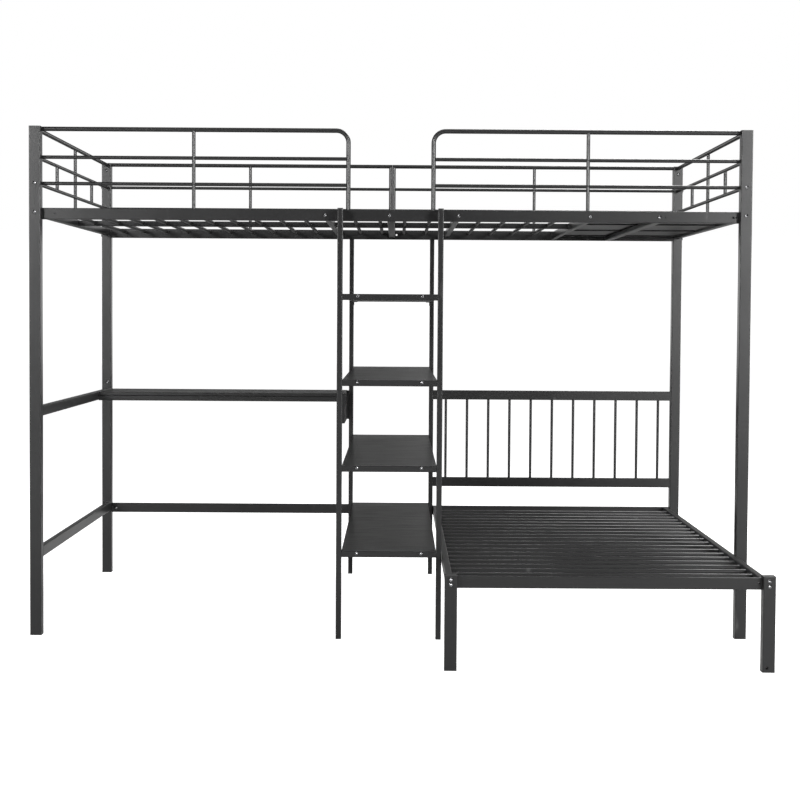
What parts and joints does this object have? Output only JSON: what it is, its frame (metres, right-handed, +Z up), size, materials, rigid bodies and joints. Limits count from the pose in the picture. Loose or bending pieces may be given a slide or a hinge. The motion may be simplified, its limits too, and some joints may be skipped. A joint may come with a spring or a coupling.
{
  "type": "loft bed with desk",
  "caption": "Metal loft bed with guard rails, a ladder with through shelves, a desk under one end and a lower twin bed set crosswise under the other.",
  "frame": {"origin": "the middle of the object's outer box, on the floor", "axes": "+X along the loft bed's length, from the desk end to the lower bed's end; -Y is the front, with the ladder and the lower bed's foot; +Z up"},
  "size_m": [2.4024, 1.9604, 1.695],
  "materials": {
    "steel": "satin",
    "board": "matt black laminate",
    "bolt": "bright zinc plate",
    "cap": "moulded, fine texture"
  },
  "bodies": {
    "root": {"post_front_left": "steel", "post_back_left": "steel", "post_front_right": "steel", "post_back_right": "steel", "side_rail_front": "steel", "side_rail_back": "steel", "end_rail_left": "steel", "end_rail_right": "steel", "front_guard_left": "steel", "front_guard_right": "steel", "back_guard_left": "steel", "back_guard_right": "steel", "end_guard_left": "steel", "end_guard_right": "steel", "deck_mid_beam": "steel", "deck_slats": "steel", "deck_cross_bars": "steel", "deck_centre_bar": "steel", "platform_rail": "steel", "platform_bearer": "steel", "platform_strips": "steel", "platform_board_front": "board", "platform_board_middle": "board", "platform_board_back": "board", "ladder_post_left": "steel", "ladder_post_right": "steel", "ladder_rungs": "steel", "ladder_hooks": "steel", "shelf_post_left": "steel", "shelf_post_right": "steel", "shelf_brackets": "steel", "shelf_1": "board", "shelf_2": "board", "shelf_3": "board", "shelf_4": "board", "desk_front_rail": "steel", "desk_back_rail": "steel", "desk_bearers": "steel", "desk_top": "board", "desk_end_bracket": "steel", "desk_corner_tab": "steel", "desk_side_rail": "steel", "lower_side_rail": "steel", "lower_back_rail": "steel", "headboard_rails": "steel", "headboard_bars": "steel", "bed_leg_left": "steel", "bed_leg_right": "steel", "bed_foot_rail": "steel", "bed_side_rail_left": "steel", "bed_side_rail_right": "steel", "bed_head_rail": "steel", "bed_slats": "steel", "top_caps": "cap", "foot_caps": "cap", "post_bolts": "bolt", "rail_bolts": "bolt", "ladder_bolts": "bolt", "bed_bolts": "bolt"}
  },
  "joints": []
}
